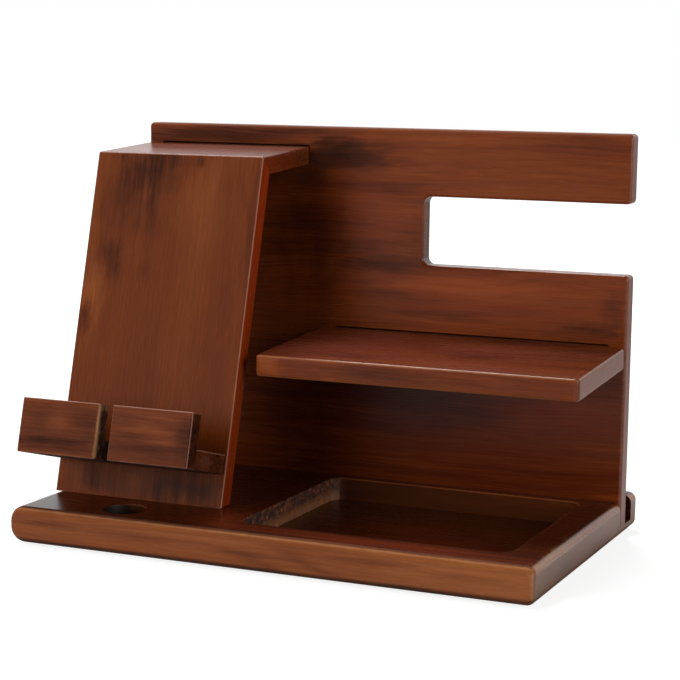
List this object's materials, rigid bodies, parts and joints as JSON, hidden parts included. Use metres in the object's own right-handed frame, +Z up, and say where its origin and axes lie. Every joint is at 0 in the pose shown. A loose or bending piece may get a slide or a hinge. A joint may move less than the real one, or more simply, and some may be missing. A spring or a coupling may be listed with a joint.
{
  "type": "charging station organizer",
  "caption": "Wooden desk organizer with a leaning phone stand and cable gap, a side shelf, a notched back panel, a tray pocket and a rear groove for a tablet.",
  "frame": {"origin": "on the table, under the middle of the base board, at the underside of the foot pads", "axes": "+X to the right along the base board, +Y to the back towards the panel, +Z up"},
  "size_m": [0.3, 0.19, 0.226],
  "materials": {
    "base_wood": "reddish brown stain under semi-gloss varnish, grain along the board",
    "panel_wood": "dark reddish brown stain under semi-gloss varnish, grain along the board",
    "shelf_wood": "dark reddish brown stain under glossy varnish, grain along the board",
    "stand_wood": "reddish brown stain under semi-gloss varnish, grain up the board",
    "rest_wood": "reddish brown stain under thin varnish, rough sawn end grain in the cable gap",
    "dowel_wood": "plain beech, hidden in the joints",
    "screw_steel": "zinc-plated wood screws",
    "pad_rubber": "matt black anti-slip rubber"
  },
  "bodies": {
    "root": {"base_board": "base_wood", "back_panel": "panel_wood", "panel_screws": "screw_steel", "foot_pad_front_left": "pad_rubber", "foot_pad_front_right": "pad_rubber", "foot_pad_rear_left": "pad_rubber", "foot_pad_rear_right": "pad_rubber"},
    "shelf": {"shelf_board": "shelf_wood"},
    "phone_stand": {"backrest_board": "stand_wood", "cap_board": "stand_wood", "mitre_dowels": "dowel_wood"},
    "phone_rest": {"rest_ledge": "rest_wood", "lip_block_left": "rest_wood", "lip_block_right": "rest_wood", "lip_dowels": "dowel_wood"}
  },
  "joints": [
    {"name": "shelf_slide", "type": "slide", "parent": "root", "child": "shelf", "axis": [0, -1, 0], "range_m": [0, 0.012]},
    {"name": "stand_slide", "type": "slide", "parent": "root", "child": "phone_stand", "axis": [0, -1, 0], "range_m": [0, 0.012]},
    {"name": "rest_slide", "type": "slide", "parent": "phone_stand", "child": "phone_rest", "axis": [0, -0.9659, 0.2588], "range_m": [0, 0.0105]}
  ]
}
